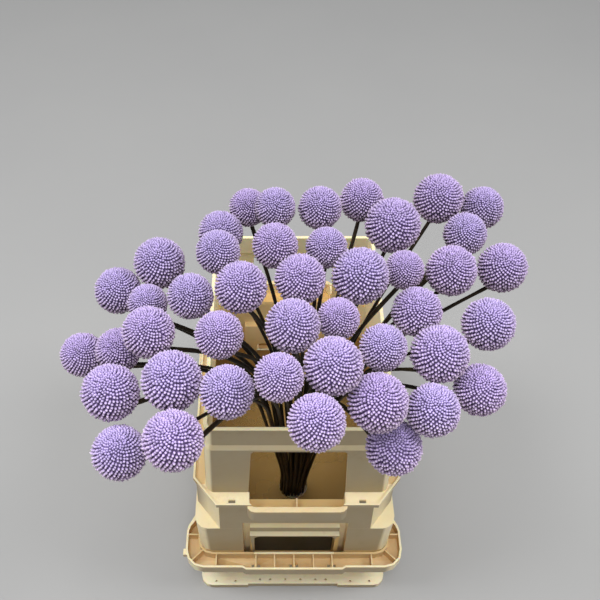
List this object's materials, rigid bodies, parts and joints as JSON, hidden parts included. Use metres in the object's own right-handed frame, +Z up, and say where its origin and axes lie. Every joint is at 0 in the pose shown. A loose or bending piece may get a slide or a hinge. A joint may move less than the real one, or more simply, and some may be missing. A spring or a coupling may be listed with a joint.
{
  "type": "craspedia bunch in a flower holder",
  "caption": "Bunch of lilac-dyed craspedia ball flowers on dark stems, standing in a cream plastic two-part flower holder with a ribbed tray.",
  "frame": {"origin": "centre of the tray's underside, on the surface that it stands on", "axes": "+Z up, front at -Y where the bunch leans over the holder's edge, +X to the right seen from the front"},
  "size_m": [0.3752, 0.4844, 0.6245],
  "materials": {
    "tray_plastic": "satin moulded plastic that lets a little light through",
    "collar_plastic": "satin moulded plastic that lets a little light through",
    "water": "still clear water, brown in the holder's shade",
    "stem": "dull dark dried stem",
    "floret": "dry matt florets"
  },
  "bodies": {
    "root": {"tray": "tray_plastic", "collar": "collar_plastic", "water": "water", "stems": "stem", "bloom_01": "floret", "bloom_02": "floret", "bloom_03": "floret", "bloom_04": "floret", "bloom_05": "floret", "bloom_06": "floret", "bloom_07": "floret", "bloom_08": "floret", "bloom_09": "floret", "bloom_10": "floret", "bloom_11": "floret", "bloom_12": "floret", "bloom_13": "floret", "bloom_14": "floret", "bloom_15": "floret", "bloom_16": "floret", "bloom_17": "floret", "bloom_18": "floret", "bloom_19": "floret", "bloom_20": "floret", "bloom_21": "floret", "bloom_22": "floret", "bloom_23": "floret", "bloom_24": "floret", "bloom_25": "floret", "bloom_26": "floret", "bloom_27": "floret", "bloom_28": "floret", "bloom_29": "floret", "bloom_30": "floret", "bloom_31": "floret", "bloom_32": "floret", "bloom_33": "floret", "bloom_34": "floret", "bloom_35": "floret", "bloom_36": "floret", "bloom_37": "floret", "bloom_38": "floret", "bloom_39": "floret", "bloom_40": "floret", "bloom_41": "floret", "bloom_42": "floret", "bloom_43": "floret", "bloom_44": "floret"}
  },
  "joints": []
}
